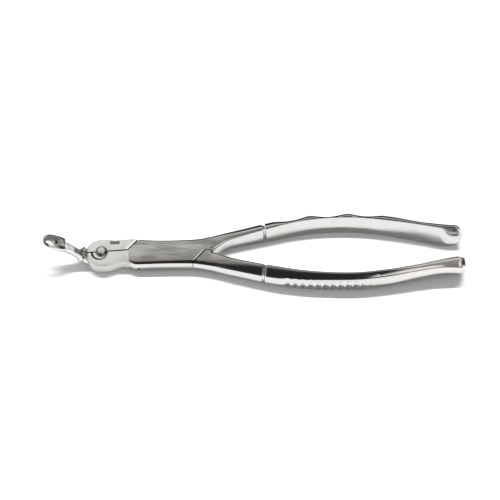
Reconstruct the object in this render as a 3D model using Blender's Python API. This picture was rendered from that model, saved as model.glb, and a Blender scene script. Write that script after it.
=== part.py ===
"""Extraction forceps: two crossing halves that turn on a flush hinge rivet.

The upper half is the top layer of the box; in front it is the near arm and the
near beak, behind it is the far handle. The lower half is the bottom layer of the
box, the far arm with its beak, and the near handle. A guide pin stands in a boss
of the lower half's knuckle and seats in a notch of the upper half.

Frame: origin where the hinge axis meets the box's flat underside, beaks along -X,
handles along +X, +Z up. Meshes are drawn about the box's mid thickness, and each
object is raised by half the box's height. Lengths below are in millimetres.
"""
import math

import bmesh
import bpy
from mathutils import Matrix, Vector

MM = 0.001

# Joint body: box, front arms and round knuckle
BOX_HEIGHT = 6.8
ARM_HEIGHT = 6.5
BOX_FRONT = -14.0
STEP_RUN = 0.3
BODY_REAR = 20.0
EDGE_RADIUS = ((0.0, 1.5), (12.0, 1.9), (20.0, 2.1))
KNUCKLE_X = -25.6
KNUCKLE_LENGTH = 6.7
KNUCKLE_FRONT = -31.7
FAR_HALF_WIDTH = (
    (-25.6, 6.9), (-22.6, 6.8), (-20.2, 6.45), (-17.5, 6.7), (-13.0, 6.85),
    (-9.0, 6.35), (-4.0, 6.0), (0.0, 5.85), (6.0, 5.95), (13.0, 6.3), (20.0, 7.3),
)
NEAR_HALF_WIDTH = (
    (-25.6, 6.5), (-22.6, 6.35), (-20.3, 5.6), (-18.0, 4.75), (-16.2, 4.45),
    (-14.0, 5.1), (-11.6, 5.95), (-8.0, 6.0), (0.0, 5.85), (8.0, 5.9), (13.0, 6.1),
    (20.0, 7.3),
)
WAIST_FACET_POINT = (-20.0, 6.1, 8.8)
WAIST_FACET_RADIUS = 6.0

# Shoulders of the lap joint, in plan
CLEARANCE = 0.3
PARTING_FRONT = (-40.0, -0.5)
FRONT_SHOULDER = ((-14.6, 1.0), (-10.4, 5.6))
REAR_SHOULDER = ((12.6, -5.7), (17.6, 0.2))
REACH = 25.0
REAR_SLANT = 4.0

# Hinge rivet, ground flush with the box
RIVET_SHANK = 2.2
RIVET_HEAD = 3.1
RIVET_SINK = 1.1
PIN_CLEARANCE = 0.15

# Guide pin with a raised conical head, and the boss that holds it
PIN_POINT = (-25.6, 0.35)
PIN_SHANK = 1.5
PIN_HEAD = 2.45
PIN_CROWN = 1.45
PIN_RISE = 1.0
PIN_RIM = 0.35
PIN_TAPER = 0.1
BOSS_RADIUS = 3.2
BOSS_FOOT_TOP = 1.5
COLLAR_RADIUS = 2.95
COLLAR_SHIFT = (-0.62, -0.35)
COLLAR_TOP = 3.15
NOTCH_RADIUS = 3.5
NOTCH_SHIFT = (-0.9, -0.5)

# Handles along X: middle line in plan, reach outwards and inwards of it, half
# height, how far the top leans outwards per unit of height, and squareness
HANDLE_START = 18.2
FAR_END = 125.5
NEAR_END = 126.2
FAR_LINE = (
    (18.2, 3.65), (20.0, 3.9), (22.0, 4.3), (26.0, 5.2), (32.2, 6.4), (44.8, 8.95),
    (57.3, 11.7), (69.9, 13.0), (82.4, 12.8), (95.0, 11.1), (107.5, 8.6),
    (115.9, 6.8), (120.9, 6.3), (125.6, 6.1),
)
NEAR_LINE = (
    (18.2, 3.65), (20.0, 3.9), (22.0, 4.3), (26.0, 5.2), (32.2, 6.5), (44.8, 9.2),
    (57.3, 11.75), (69.9, 13.15), (82.4, 13.4), (95.0, 12.15), (107.5, 10.1),
    (115.9, 8.2), (121.5, 7.2), (126.2, 6.8),
)
FAR_OUTER_REACH = (
    (18.2, 3.35), (20.0, 3.45), (22.0, 3.55), (30.0, 4.0), (45.0, 4.8), (60.0, 4.2),
    (75.0, 4.0), (95.0, 4.2), (107.5, 3.2), (116.0, 3.7), (125.6, 3.0),
)
NEAR_OUTER_REACH = (
    (18.2, 3.35), (20.0, 3.45), (22.0, 3.55), (30.0, 4.2), (45.0, 4.9), (57.0, 4.4),
    (70.0, 3.6), (95.0, 3.2), (107.5, 2.9), (115.9, 3.6), (122.2, 4.7), (126.2, 4.9),
)
FAR_INNER_REACH = (
    (18.2, 3.3), (20.0, 3.4), (22.0, 3.1), (26.0, 1.6), (30.0, 0.9), (45.0, 0.6),
    (95.0, 0.6), (125.6, 0.8),
)
NEAR_INNER_REACH = (
    (18.2, 3.3), (20.0, 3.4), (22.0, 3.1), (30.0, 2.2), (45.0, 1.8), (90.0, 1.8),
    (105.0, 2.6), (125.6, 3.0),
)
HALF_HEIGHT = (
    (18.2, 3.37), (21.0, 3.45), (30.0, 4.2), (42.7, 5.0), (60.0, 5.5), (90.0, 5.7),
    (108.0, 5.8), (120.0, 6.1), (125.6, 6.1),
)
FAR_LEAN = ((20.0, 0.0), (28.0, 0.03), (45.0, 0.08), (95.0, 0.11), (112.0, 0.17), (125.6, 0.18))
NEAR_LEAN = ((90.0, 0.0), (105.0, 0.08), (118.0, 0.16), (125.6, 0.16))
OUTER_SQUARENESS = ((18.2, 4.0), (22.0, 3.4), (30.0, 2.7), (42.7, 2.3), (125.6, 2.2))
INNER_SQUARENESS = ((18.2, 6.0), (22.0, 6.0), (30.0, 3.5), (42.7, 2.2), (125.6, 2.1))
END_ROUNDING = 7.5
END_TOP_ROUNDING = 3.4
END_LEAST_HEIGHT = 0.3
END_CORNER = 2.6
END_LEAST_WIDTH = 0.5
SLOPE_SPAN = 0.5
GROOVE_X = 42.7
GROOVE_HALF = 0.8
GROOVE_DEPTH = 0.55
SCALLOP_PEAKS = (46.9, 61.9, 77.6, 92.0)
SCALLOP_DEPTHS = (1.4, 1.7, 1.4)
SCALLOP_POWER = 1.4
SERRATION_START = 51.0
SERRATION_COUNT = 15
SERRATION_PITCH = 3.1
SERRATION_RUNOUT = 6.0
SERRATION_DEPTH = 0.5
SERRATION_FLOOR = 0.15
SERRATION_EDGE = 0.8
SERRATION_FADE = 0.12

# Beaks: height of the mid line, half width of the pair and depth along X
BEAK_TIP = -49.3
BEAK_ROOT = -29.5
BEAK_RISE = (
    (-49.3, 14.2), (-47.5, 13.5), (-45.0, 12.3), (-41.2, 9.9), (-38.0, 6.7),
    (-35.0, 3.3), (-32.5, 1.0), (-29.5, 0.0),
)
BEAK_HALF_WIDTH = (
    (-49.3, 2.6), (-47.0, 3.2), (-44.5, 3.4), (-41.4, 3.15), (-38.0, 2.7),
    (-35.0, 2.8), (-32.5, 3.4), (-29.5, 4.4),
)
BEAK_DEPTH = (
    (-49.3, 1.7), (-47.0, 2.6), (-44.5, 3.3), (-41.4, 3.8), (-38.0, 4.1),
    (-35.0, 4.4), (-32.5, 5.2), (-29.5, 6.0),
)
BEAK_SQUARENESS = 0.62
BEAK_TIP_ROUNDING = 2.6
BEAK_LEAST_WIDTH = 0.3
BEAK_LEAST_DEPTH = 0.45
HEAD_REAR = -41.2
HEAD_STEP = 0.3
HEAD_STEP_RUN = 0.4
RIM_X = -33.9
RIM_HALF = 0.7
RIM_RISE = 0.45
CUP_CENTRE = (-45.2, 13.1)
CUP_RADII = (3.7, 2.35, 2.3)
CUP_SLOPE = math.radians(24.0)

# Mesh resolution
HANDLE_RING = 22
HANDLE_STEP = 2.8
SCALLOP_STEP = 1.7
SERRATION_STEP = SERRATION_PITCH / 4.0
GROOVE_STEP = 0.4
END_STEP = 0.9
CORNER_STEP = 0.4
BODY_STEP = 1.6
CORNER_POINTS = 4
BEAK_RING = 16
BEAK_STEP = 1.3
BEAK_TIP_STEP = 0.6
ROUND_SEGMENTS = 28
EGG_SEGMENTS = 20
EGG_RINGS = 12
SMOOTH_ANGLE = math.radians(35.0)

# Steel of the four pieces
STEEL_COLOUR = (0.62, 0.62, 0.61, 1.0)
HALF_ROUGHNESS = 0.16
RIVET_ROUGHNESS = 0.3
PIN_ROUGHNESS = 0.25


def spline(keys, x):
    """Smooth curve through (x, value) keys, held level beyond both ends."""
    if x <= keys[0][0]:
        return keys[0][1]
    if x >= keys[-1][0]:
        return keys[-1][1]
    index = max(i for i in range(len(keys) - 1) if keys[i][0] <= x)

    def slope(i):
        low, high = max(i - 1, 0), min(i + 1, len(keys) - 1)
        return (keys[high][1] - keys[low][1]) / (keys[high][0] - keys[low][0])

    (x0, v0), (x1, v1) = keys[index], keys[index + 1]
    run = x1 - x0
    t = (x - x0) / run
    return (
        v0 * (2 * t**3 - 3 * t**2 + 1)
        + slope(index) * run * (t**3 - 2 * t**2 + t)
        + v1 * (3 * t**2 - 2 * t**3)
        + slope(index + 1) * run * (t**3 - t**2)
    )


def stations(start, end, step):
    """Evenly spaced values from start to end, no more than step apart."""
    count = max(1, math.ceil((end - start) / step))
    return [start + (end - start) * i / count for i in range(count + 1)]


def run_places(runs):
    """Stations through consecutive (start, end, step) runs, no end twice."""
    places = [runs[0][0]]
    for start, end, step in runs:
        places += stations(start, end, step)[1:]
    return places


def smoothstep(t):
    t = min(max(t, 0.0), 1.0)
    return t * t * (3.0 - 2.0 * t)


def blend(least, t):
    """From least at t = 0 to one at t = 1."""
    return least + (1.0 - least) * t


def make_object(name, bm):
    """Turn a bmesh in millimetres into an object in metres."""
    bmesh.ops.recalc_face_normals(bm, faces=bm.faces)
    bmesh.ops.scale(bm, vec=(MM, MM, MM), verts=bm.verts)
    mesh = bpy.data.meshes.new(name)
    bm.to_mesh(mesh)
    bm.free()
    obj = bpy.data.objects.new(name, mesh)
    bpy.context.scene.collection.objects.link(obj)
    return obj


def loft(name, rings):
    """Closed solid through rings of equal point counts, with flat end caps."""
    bm = bmesh.new()
    loops = [[bm.verts.new(point) for point in ring] for ring in rings]
    for first, second in zip(loops, loops[1:]):
        for i in range(len(first)):
            j = (i + 1) % len(first)
            bm.faces.new((first[i], first[j], second[j], second[i]))
    bm.faces.new(loops[0])
    bm.faces.new(loops[-1])
    return make_object(name, bm)


def prism(name, outline, bottom, top):
    """Upright prism over a plan outline."""
    return loft(name, [[(x, y, z) for x, y in outline] for z in (bottom, top)])


def turned(name, centre, profile):
    """Round solid from (radius, z) pairs, bottom to top, on an upright axis."""
    angles = [2.0 * math.pi * i / ROUND_SEGMENTS for i in range(ROUND_SEGMENTS)]
    rings = []
    for radius, z in profile:
        rings.append([
            (centre[0] + radius * math.cos(a), centre[1] + radius * math.sin(a), z)
            for a in angles
        ])
    return loft(name, rings)


def outset(outline, distance):
    """Move every edge of a counter-clockwise outline outwards by distance."""
    moved = []
    for i, point in enumerate(outline):
        here = Vector(point)
        before = (here - Vector(outline[i - 1])).normalized()
        after = (Vector(outline[(i + 1) % len(outline)]) - here).normalized()
        normal_before = Vector((before.y, -before.x))
        normal_after = Vector((after.y, -after.x))
        mitre = (normal_before + normal_after).normalized()
        moved.append(tuple(here + mitre * (distance / mitre.dot(normal_after))))
    return moved


def combine(target, other, operation):
    """Join, cut or intersect target with other, and remove other."""
    modifier = target.modifiers.new(operation.title(), 'BOOLEAN')
    modifier.operation = operation
    modifier.solver = 'EXACT'
    modifier.object = other
    depsgraph = bpy.context.evaluated_depsgraph_get()
    mesh = bpy.data.meshes.new_from_object(target.evaluated_get(depsgraph))
    target.modifiers.clear()
    old_mesh = target.data
    target.data = mesh
    bpy.data.meshes.remove(old_mesh)
    bpy.data.objects.remove(other)
    mesh.name = target.name


def body_half_width(keys, x):
    if x < KNUCKLE_X:
        return keys[0][1] * math.sqrt(1.0 - ((x - KNUCKLE_X) / KNUCKLE_LENGTH) ** 2)
    return spline(keys, x)


def rounded_rectangle(x, left, right, half_height, radius):
    """Upright section with rounded corners at a station on the X axis."""
    points = []
    for quadrant in range(4):
        centre_y = left - radius if quadrant in (0, 3) else radius - right
        centre_z = half_height - radius if quadrant in (0, 1) else radius - half_height
        for i in range(CORNER_POINTS):
            angle = 0.5 * math.pi * (quadrant + i / (CORNER_POINTS - 1))
            points.append((
                x,
                centre_y + radius * math.cos(angle),
                centre_z + radius * math.sin(angle),
            ))
    return points


def joint_body(name, left_keys, right_keys):
    """Knuckle, arms and box in one piece, before the lap joint divides it."""
    places = stations(KNUCKLE_FRONT, KNUCKLE_X, BODY_STEP / 2.0)
    places += stations(KNUCKLE_X, BOX_FRONT - STEP_RUN, BODY_STEP)[1:]
    places += stations(BOX_FRONT, BODY_REAR, BODY_STEP)
    rings = []
    for x in places:
        height = BOX_HEIGHT if x >= BOX_FRONT else ARM_HEIGHT
        left = body_half_width(left_keys, x)
        right = body_half_width(right_keys, x)
        radius = spline(EDGE_RADIUS, x)
        rings.append(rounded_rectangle(x, left, right, height / 2.0, radius))
    return loft(name, rings)


def lap_cuts(parting_side):
    """Outlines that the other half fills: front arm, handle root and slot.

    They are for a half whose layer is on top; parting_side mirrors the slant of
    the parting line for the half that is turned over afterwards.
    """
    parting_front = (PARTING_FRONT[0], parting_side * PARTING_FRONT[1])
    (x0, y0), (x1, y1) = FRONT_SHOULDER
    apex = (x0, parting_side * y0)
    lean = (x1 - x0) / (y1 - y0)
    beyond = x1 + lean * (REACH - y1)
    other_arm = [parting_front, apex, (x1, y1), (beyond, REACH), (-REACH * 2.0, REACH)]
    (x2, y2), (x3, y3) = REAR_SHOULDER
    rear_apex = (x3, parting_side * y3)
    other_root = [(x2 - REAR_SLANT, -REACH), (REACH * 2.0, -REACH), (REACH * 2.0, 0.0),
                  rear_apex, (x2, y2)]
    slot = [apex, (x1, -y1), (x1, -REACH), (REACH * 2.0, -REACH), (REACH * 2.0, 0.0),
            rear_apex, (x2, -y2), (x2 - REAR_SLANT, REACH), (x0, REACH)]
    return other_arm, other_root, slot


def half_body(name, parting_side):
    """One half's share of the joint body, its layer on top."""
    widths = (FAR_HALF_WIDTH, NEAR_HALF_WIDTH)
    if parting_side < 0.0:
        widths = (NEAR_HALF_WIDTH, FAR_HALF_WIDTH)
    body = joint_body(name, *widths)
    other_arm, other_root, slot = lap_cuts(parting_side)
    tall = BOX_HEIGHT
    gap = CLEARANCE / 2.0
    combine(body, prism("cut_arm", outset(other_arm, gap), -tall, tall), 'DIFFERENCE')
    combine(body, prism("cut_root", outset(other_root, gap), -tall, tall), 'DIFFERENCE')
    combine(body, prism("cut_slot", outset(slot, gap), -tall, gap), 'DIFFERENCE')
    return body


def scallop(x):
    """How far the outer side of the far handle is cut back at a station."""
    for start, end, depth in zip(SCALLOP_PEAKS, SCALLOP_PEAKS[1:], SCALLOP_DEPTHS):
        if start <= x <= end:
            return depth * math.sin(math.pi * (x - start) / (end - start)) ** SCALLOP_POWER
    return 0.0


def serration(x):
    """Depth of the teeth on the outer side of the near handle at a station."""
    turns = (x - SERRATION_START) / SERRATION_PITCH
    if 0.0 <= turns <= SERRATION_COUNT:
        fade = smoothstep((SERRATION_COUNT - turns) / SERRATION_RUNOUT)
        return fade * (SERRATION_FLOOR + SERRATION_DEPTH * math.sin(math.pi * turns) ** 2)
    return 0.0


def rounding(distance, run, least):
    """Quarter-ellipse growth from least at an end to one, run away from it."""
    t = min(distance / run, 1.0)
    return blend(least, math.sqrt(max(0.0, 1.0 - (1.0 - t) ** 2)))


def handle_ring(x, side, scalloped):
    """Section of a handle, square to its line: flatter inside, round outside."""
    line, lean = (FAR_LINE, FAR_LEAN) if scalloped else (NEAR_LINE, NEAR_LEAN)
    outer_reach = FAR_OUTER_REACH if scalloped else NEAR_OUTER_REACH
    inner_reach = FAR_INNER_REACH if scalloped else NEAR_INNER_REACH
    left = (FAR_END if scalloped else NEAR_END) - x
    rise = spline(line, x + SLOPE_SPAN) - spline(line, x - SLOPE_SPAN)
    across = Vector((-rise, SLOPE_SPAN * 2.0)).normalized()
    groove = GROOVE_DEPTH * (1.0 - smoothstep(abs(x - GROOVE_X) / GROOVE_HALF))
    slim = rounding(left, END_CORNER, END_LEAST_WIDTH)
    half_height = spline(HALF_HEIGHT, x) - groove
    above = half_height * rounding(left, END_TOP_ROUNDING, END_LEAST_HEIGHT)
    below = half_height * rounding(left, END_ROUNDING, END_LEAST_HEIGHT)
    ring = []
    for i in range(HANDLE_RING):
        angle = 2.0 * math.pi * i / HANDLE_RING
        cosine, sine = math.cos(angle), math.sin(angle)
        reach, squareness = inner_reach, INNER_SQUARENESS
        if cosine > 0.0:
            reach, squareness = outer_reach, OUTER_SQUARENESS
        power = 2.0 / spline(squareness, x)
        width = (spline(reach, x) - groove) * slim
        offset = math.copysign(abs(cosine) ** power, cosine) * width
        height = above * sine**power if sine > 0.0 else -below * (-sine) ** power
        if scalloped:
            offset -= scallop(x) * math.sqrt(max(0.0, cosine))
        else:
            offset -= serration(x) * smoothstep((cosine - SERRATION_EDGE) / SERRATION_FADE)
        offset += spline(lean, x) * height
        across_y = spline(line, x) + across.y * offset
        ring.append((x + across.x * offset, side * across_y, height))
    return ring


def handle(name, side, scalloped):
    groove_front, groove_rear = GROOVE_X - GROOVE_HALF, GROOVE_X + GROOVE_HALF
    serration_end = SERRATION_START + SERRATION_COUNT * SERRATION_PITCH
    handle_end = FAR_END if scalloped else NEAR_END
    feature_step = SCALLOP_STEP if scalloped else SERRATION_STEP
    runs = (
        (HANDLE_START, groove_front, HANDLE_STEP), (groove_front, groove_rear, GROOVE_STEP),
        (groove_rear, SERRATION_START, SCALLOP_STEP),
        (SERRATION_START, serration_end, feature_step),
        (serration_end, handle_end - END_ROUNDING, HANDLE_STEP),
        (handle_end - END_ROUNDING, handle_end - END_CORNER, END_STEP),
        (handle_end - END_CORNER, handle_end, CORNER_STEP),
    )
    return loft(name, [handle_ring(x, side, scalloped) for x in run_places(runs)])


def beak_ring(x, side):
    """Section of a beak: flat inside, rounded outside, square to its rise."""
    height = spline(BEAK_RISE, x)
    swell = RIM_RISE * (1.0 - smoothstep(abs(x - RIM_X) / RIM_HALF))
    swell -= HEAD_STEP * smoothstep((x - HEAD_REAR) / HEAD_STEP_RUN)
    ahead, behind = min(x + SLOPE_SPAN, BEAK_ROOT), max(x - SLOPE_SPAN, BEAK_TIP)
    slope = (spline(BEAK_RISE, ahead) - spline(BEAK_RISE, behind)) / (ahead - behind)
    up = Vector((-slope, 1.0)).normalized()
    inner = CLEARANCE / 2.0
    tip = max(0.0, 1.0 - (x - BEAK_TIP) / BEAK_TIP_ROUNDING)
    growth = math.sqrt(max(0.0, 1.0 - tip * tip))
    width = (spline(BEAK_HALF_WIDTH, x) - inner + swell) * blend(BEAK_LEAST_WIDTH, growth)
    depth = (spline(BEAK_DEPTH, x) / 2.0 + swell) * blend(BEAK_LEAST_DEPTH, growth)
    ring = []
    for i in range(BEAK_RING):
        angle = math.pi * (i / (BEAK_RING - 1) - 0.5)
        cosine, sine = math.cos(angle), math.sin(angle)
        out = width * abs(cosine) ** BEAK_SQUARENESS
        rise = depth * math.copysign(abs(sine) ** BEAK_SQUARENESS, sine)
        ring.append((x + up.x * rise, side * (inner + out), height + up.y * rise))
    return ring


def beak(name, side):
    tip_end = BEAK_TIP + BEAK_TIP_ROUNDING
    head_step_end = HEAD_REAR + HEAD_STEP_RUN
    rim_front, rim_rear = RIM_X - RIM_HALF, RIM_X + RIM_HALF
    runs = (
        (BEAK_TIP, tip_end, BEAK_TIP_STEP), (tip_end, HEAD_REAR, BEAK_STEP),
        (HEAD_REAR, head_step_end, HEAD_STEP_RUN / 2.0),
        (head_step_end, rim_front, BEAK_STEP), (rim_front, rim_rear, RIM_HALF / 2.0),
        (rim_rear, BEAK_ROOT, BEAK_STEP),
    )
    return loft(name, [beak_ring(x, side) for x in run_places(runs)])


def egg(name, centre, radii, slope):
    """Ellipsoid cutter, tipped about the Y axis."""
    bm = bmesh.new()
    bmesh.ops.create_uvsphere(bm, u_segments=EGG_SEGMENTS, v_segments=EGG_RINGS, radius=1.0)
    turn = Matrix.Rotation(slope, 4, 'Y')
    shape = Matrix.Translation(centre) @ turn @ Matrix.Diagonal((*radii, 1.0))
    bmesh.ops.transform(bm, matrix=shape, verts=bm.verts)
    return make_object(name, bm)


def cup_cutter():
    """Long egg that hollows the beak tips between them."""
    return egg("cut_cup", (CUP_CENTRE[0], 0.0, CUP_CENTRE[1]), CUP_RADII, CUP_SLOPE)


def waist_facet():
    """Ball that dishes the top edge of the far arm's waist."""
    return egg("cut_waist", WAIST_FACET_POINT, (WAIST_FACET_RADIUS,) * 3, 0.0)


def beside_pin(shift):
    return (PIN_POINT[0] + shift[0], PIN_POINT[1] + shift[1])


def add_round(target, centre, radius, bottom, top):
    combine(target, turned("boss", centre, [(radius, bottom), (radius, top)]), 'UNION')


def cut_round(target, centre, radius, bottom, top):
    cutter = turned("cut_round", centre, [(radius, bottom), (radius, top)])
    combine(target, cutter, 'DIFFERENCE')


def rivet_profile(extra):
    half = BOX_HEIGHT / 2.0
    shoulder = half - RIVET_SINK
    return [
        (RIVET_HEAD + extra, -half), (RIVET_SHANK + extra, -shoulder),
        (RIVET_SHANK + extra, shoulder), (RIVET_HEAD + extra, half),
    ]


def rivet_hole():
    profile = rivet_profile(PIN_CLEARANCE)
    past = BOX_HEIGHT
    wide = profile[0][0]
    return turned("cut_rivet", (0.0, 0.0), [(wide, -past)] + profile + [(wide, past)])


def steel(name, roughness):
    material = bpy.data.materials.new(name)
    material.use_nodes = True
    shader = material.node_tree.nodes["Principled BSDF"]
    shader.inputs["Base Color"].default_value = STEEL_COLOUR
    shader.inputs["Metallic"].default_value = 1.0
    shader.inputs["Roughness"].default_value = roughness
    return material


def finish(obj, material):
    """Raise a piece to its place on the hinge axis, shade it and give it its steel."""
    obj.location.z = BOX_HEIGHT / 2.0 * MM
    obj.data.materials.clear()
    obj.data.materials.append(material)
    obj.data.shade_smooth()
    obj.data.set_sharp_from_angle(angle=SMOOTH_ANGLE)


def build_upper_half():
    half = half_body("upper_half", 1.0)
    combine(half, handle("far_handle", 1.0, True), 'UNION')
    combine(half, beak("near_beak", -1.0), 'UNION')
    combine(half, cup_cutter(), 'DIFFERENCE')
    past = BOX_HEIGHT
    foot = BOSS_RADIUS + CLEARANCE
    foot_top = BOSS_FOOT_TOP + CLEARANCE
    head = PIN_HEAD + CLEARANCE
    cut_round(half, beside_pin((0.0, 0.0)), foot, -past, foot_top)
    cut_round(half, beside_pin((0.0, 0.0)), head, BOSS_FOOT_TOP, past)
    cut_round(half, beside_pin(NOTCH_SHIFT), NOTCH_RADIUS, -past, past)
    combine(half, rivet_hole(), 'DIFFERENCE')
    finish(half, steel("upper_half_steel", HALF_ROUGHNESS))


def build_lower_half():
    half = half_body("lower_half", -1.0)
    half.data.transform(Matrix.Rotation(math.pi, 4, 'X'))
    combine(half, handle("near_handle", -1.0, False), 'UNION')
    combine(half, beak("far_beak", 1.0), 'UNION')
    combine(half, cup_cutter(), 'DIFFERENCE')
    base = -ARM_HEIGHT / 2.0
    add_round(half, beside_pin((0.0, 0.0)), BOSS_RADIUS, base, BOSS_FOOT_TOP)
    add_round(half, beside_pin(COLLAR_SHIFT), COLLAR_RADIUS, base, COLLAR_TOP)
    bore = PIN_SHANK + PIN_CLEARANCE
    cut_round(half, PIN_POINT, bore, -BOX_HEIGHT, BOX_HEIGHT)
    combine(half, waist_facet(), 'DIFFERENCE')
    combine(half, rivet_hole(), 'DIFFERENCE')
    finish(half, steel("lower_half_steel", HALF_ROUGHNESS))


def build_hinge_rivet():
    rivet = turned("hinge_rivet", (0.0, 0.0), rivet_profile(0.0))
    finish(rivet, steel("rivet_steel", RIVET_ROUGHNESS))


def build_guide_pin():
    seat = ARM_HEIGHT / 2.0
    head = seat + PIN_CLEARANCE
    pin = turned("guide_pin", PIN_POINT, [
        (PIN_SHANK, -seat), (PIN_SHANK, head), (PIN_HEAD, head),
        (PIN_HEAD - PIN_TAPER, head + PIN_RIM), (PIN_CROWN, head + PIN_RISE),
    ])
    finish(pin, steel("pin_steel", PIN_ROUGHNESS))


def main():
    for obj in list(bpy.data.objects):
        bpy.data.objects.remove(obj, do_unlink=True)
    build_upper_half()
    build_lower_half()
    build_hinge_rivet()
    build_guide_pin()


main()
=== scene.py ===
"""Extraction forceps: the visible model, its steel, the studio and the camera.

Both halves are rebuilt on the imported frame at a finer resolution, with the same
driving dimensions. Lengths are in millimetres about the box's mid thickness until
an object is finished; the frame itself is in metres.
"""
import math

import bmesh
import bpy
from mathutils import Matrix, Vector


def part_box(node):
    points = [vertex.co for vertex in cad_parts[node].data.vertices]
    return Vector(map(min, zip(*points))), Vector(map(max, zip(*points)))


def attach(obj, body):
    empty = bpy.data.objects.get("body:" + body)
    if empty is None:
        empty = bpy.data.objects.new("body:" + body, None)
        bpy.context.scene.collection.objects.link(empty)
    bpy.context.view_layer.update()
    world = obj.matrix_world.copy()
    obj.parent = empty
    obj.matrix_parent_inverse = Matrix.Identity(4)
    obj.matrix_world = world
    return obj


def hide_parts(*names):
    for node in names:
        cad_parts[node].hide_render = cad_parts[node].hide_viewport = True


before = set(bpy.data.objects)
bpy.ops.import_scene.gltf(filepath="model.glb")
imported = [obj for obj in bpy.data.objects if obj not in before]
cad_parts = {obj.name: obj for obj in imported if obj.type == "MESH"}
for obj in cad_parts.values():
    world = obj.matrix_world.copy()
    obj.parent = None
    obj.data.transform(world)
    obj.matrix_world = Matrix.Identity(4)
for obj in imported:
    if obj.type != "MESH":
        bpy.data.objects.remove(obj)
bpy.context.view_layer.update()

MM = 0.001
MESH_LIFT = (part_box("hinge_rivet")[0].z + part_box("hinge_rivet")[1].z) / 2.0

# Joint body: box, front arms and round knuckle
BOX_HEIGHT = 6.8
ARM_HEIGHT = 6.5
BOX_FRONT = -14.0
STEP_RUN = 0.25
BODY_REAR = 20.0
EDGE_RADIUS = ((0.0, 1.5), (12.0, 1.9), (20.0, 2.1))
KNUCKLE_X = -25.6
KNUCKLE_LENGTH = 6.7
KNUCKLE_FRONT = -31.7
FAR_HALF_WIDTH = (
    (-25.6, 6.9), (-22.6, 6.8), (-20.2, 6.45), (-17.5, 6.7), (-13.0, 6.85),
    (-9.0, 6.35), (-4.0, 6.0), (0.0, 5.85), (6.0, 5.95), (13.0, 6.3), (20.0, 7.3),
)
NEAR_HALF_WIDTH = (
    (-25.6, 6.5), (-22.6, 6.35), (-20.3, 5.6), (-18.0, 4.75), (-16.2, 4.45),
    (-14.0, 5.1), (-11.6, 5.95), (-8.0, 6.0), (0.0, 5.85), (8.0, 5.9), (13.0, 6.1),
    (20.0, 7.3),
)
WAIST_FACET_POINT = (-20.0, 6.1, 8.8)
WAIST_FACET_RADIUS = 6.0

# Shoulders of the lap joint, in plan
CLEARANCE = 0.3
PARTING_FRONT = (-40.0, -0.5)
FRONT_SHOULDER = ((-14.6, 1.0), (-10.4, 5.6))
REAR_SHOULDER = ((12.6, -5.7), (17.6, 0.2))
REACH = 25.0
REAR_SLANT = 4.0

# Hinge rivet, ground flush with the box
RIVET_SHANK = 2.2
RIVET_HEAD = 3.1
RIVET_SINK = 1.1
RIVET_GAP = 0.02

# Guide pin with a raised conical head, and the boss that holds it
PIN_POINT = (-25.6, 0.35)
PIN_SHANK = 1.5
PIN_HEAD = 2.45
PIN_CROWN = 1.45
PIN_RISE = 1.0
PIN_SEAT = 0.15
PIN_BEVEL = 0.08
PIN_RIM = 0.35
PIN_TAPER = 0.1
PIN_CROWN_BEVEL = (0.1, 0.06)
PIN_GAP = 0.1
BOSS_RADIUS = 3.2
BOSS_FOOT_TOP = 1.5
COLLAR_RADIUS = 2.95
COLLAR_SHIFT = (-0.62, -0.35)
COLLAR_TOP = 3.15
NOTCH_RADIUS = 3.5
NOTCH_SHIFT = (-0.9, -0.5)

# Handles along X: middle line in plan, reach outwards and inwards of it, half
# height, how far the top leans outwards per unit of height, and squareness
HANDLE_START = 18.2
FAR_END = 125.5
NEAR_END = 126.2
FAR_LINE = (
    (18.2, 3.65), (20.0, 3.9), (22.0, 4.3), (26.0, 5.2), (32.2, 6.4), (44.8, 8.95),
    (57.3, 11.7), (69.9, 13.0), (82.4, 12.8), (95.0, 11.1), (107.5, 8.6),
    (115.9, 6.8), (120.9, 6.3), (125.6, 6.1),
)
NEAR_LINE = (
    (18.2, 3.65), (20.0, 3.9), (22.0, 4.3), (26.0, 5.2), (32.2, 6.5), (44.8, 9.2),
    (57.3, 11.75), (69.9, 13.15), (82.4, 13.4), (95.0, 12.15), (107.5, 10.1),
    (115.9, 8.2), (121.5, 7.2), (126.2, 6.8),
)
FAR_OUTER_REACH = (
    (18.2, 3.35), (20.0, 3.45), (22.0, 3.55), (30.0, 4.0), (45.0, 4.8), (60.0, 4.2),
    (75.0, 4.0), (95.0, 4.2), (107.5, 3.2), (116.0, 3.7), (125.6, 3.0),
)
NEAR_OUTER_REACH = (
    (18.2, 3.35), (20.0, 3.45), (22.0, 3.55), (30.0, 4.2), (45.0, 4.9), (57.0, 4.4),
    (70.0, 3.6), (95.0, 3.2), (107.5, 2.9), (115.9, 3.6), (122.2, 4.7), (126.2, 4.9),
)
FAR_INNER_REACH = (
    (18.2, 3.3), (20.0, 3.4), (22.0, 3.1), (26.0, 1.6), (30.0, 0.9), (45.0, 0.6),
    (95.0, 0.6), (125.6, 0.8),
)
NEAR_INNER_REACH = (
    (18.2, 3.3), (20.0, 3.4), (22.0, 3.1), (30.0, 2.2), (45.0, 1.8), (90.0, 1.8),
    (105.0, 2.6), (125.6, 3.0),
)
HALF_HEIGHT = (
    (18.2, 3.37), (21.0, 3.45), (30.0, 4.2), (42.7, 5.0), (60.0, 5.5), (90.0, 5.7),
    (108.0, 5.8), (120.0, 6.1), (125.6, 6.1),
)
FAR_LEAN = ((20.0, 0.0), (28.0, 0.03), (45.0, 0.08), (95.0, 0.11), (112.0, 0.17), (125.6, 0.18))
NEAR_LEAN = ((90.0, 0.0), (105.0, 0.08), (118.0, 0.16), (125.6, 0.16))
OUTER_SQUARENESS = ((18.2, 4.0), (22.0, 3.4), (30.0, 2.7), (42.7, 2.3), (125.6, 2.2))
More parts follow.
